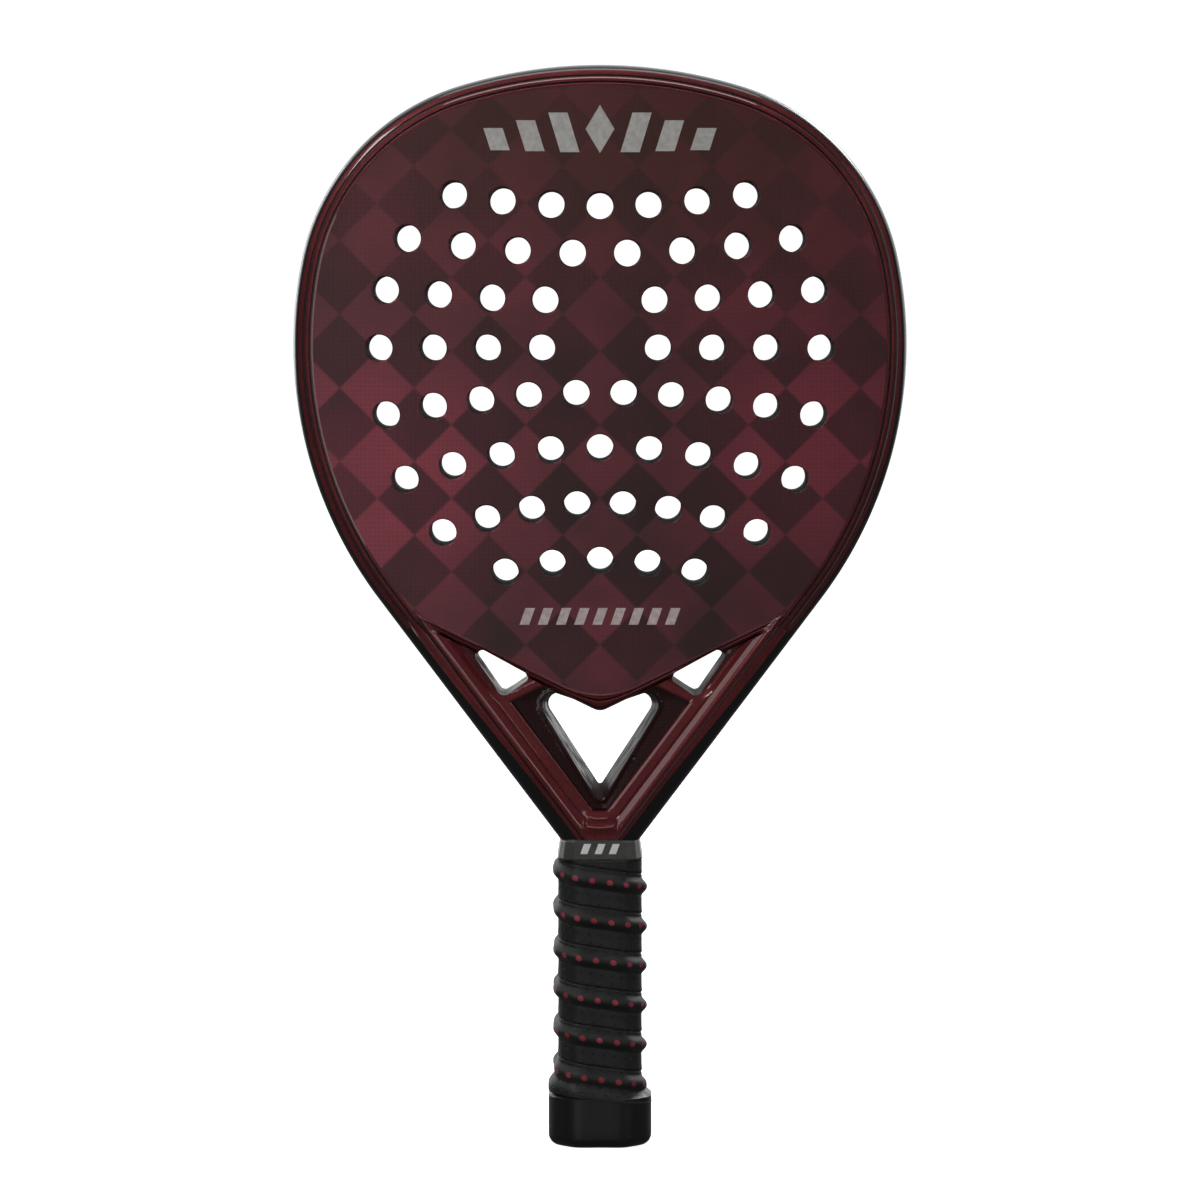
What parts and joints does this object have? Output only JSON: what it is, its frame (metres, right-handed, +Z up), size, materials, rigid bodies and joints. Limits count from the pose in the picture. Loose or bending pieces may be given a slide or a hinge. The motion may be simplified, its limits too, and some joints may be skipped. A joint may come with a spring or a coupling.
{
  "type": "padel racket",
  "caption": "Teardrop-shaped padel racket with a drilled foam-core head, a moulded open throat with three windows, and a wrapped handle with a spiral-ribbed grip.",
  "frame": {"origin": "centre of the underside of the butt, at mid-thickness", "axes": "+Z runs up the handle to the top of the head, +X across the head, and the front face looks towards -Y"},
  "size_m": [0.2568, 0.038, 0.455],
  "materials": {
    "carbon_gloss": "clear-coated dark metallic red carbon",
    "carbon_face": "satin spread-tow carbon with diamond checks",
    "nylon_film": "thin translucent film",
    "rigid_foam": "fine closed-cell foam",
    "eva_foam": "soft closed-cell foam, drilled",
    "glass_ply": "resin-bound glass cloth",
    "butt_plastic": "satin moulded plastic",
    "adhesive_tape": "woven tape",
    "grip_leather": "perforated cushioned synthetic leather",
    "collar_rubber": "smooth glossy rubber",
    "decal_grey": "satin print under lacquer",
    "decal_pale": "satin print under lacquer",
    "decal_white": "white print"
  },
  "bodies": {
    "root": {"frame_tube": "carbon_gloss", "frame_bladder": "nylon_film", "bridge_tube": "carbon_gloss", "bridge_foam": "rigid_foam", "head_core": "eva_foam", "front_ply": "glass_ply", "rear_ply": "glass_ply", "front_skin": "carbon_face", "rear_skin": "carbon_face", "throat_yoke": "carbon_gloss", "yoke_foam": "rigid_foam", "left_link": "carbon_gloss", "right_link": "carbon_gloss", "handle_foam": "rigid_foam", "butt_cap": "butt_plastic", "grip_tape": "adhesive_tape", "cushion_grip": "grip_leather", "grip_rib": "grip_leather", "finishing_tape": "adhesive_tape", "collar": "collar_rubber", "front_emblem": "decal_grey", "rear_emblem": "decal_grey", "front_stripes": "decal_pale", "rear_stripes": "decal_pale", "collar_mark": "decal_white"}
  },
  "joints": []
}
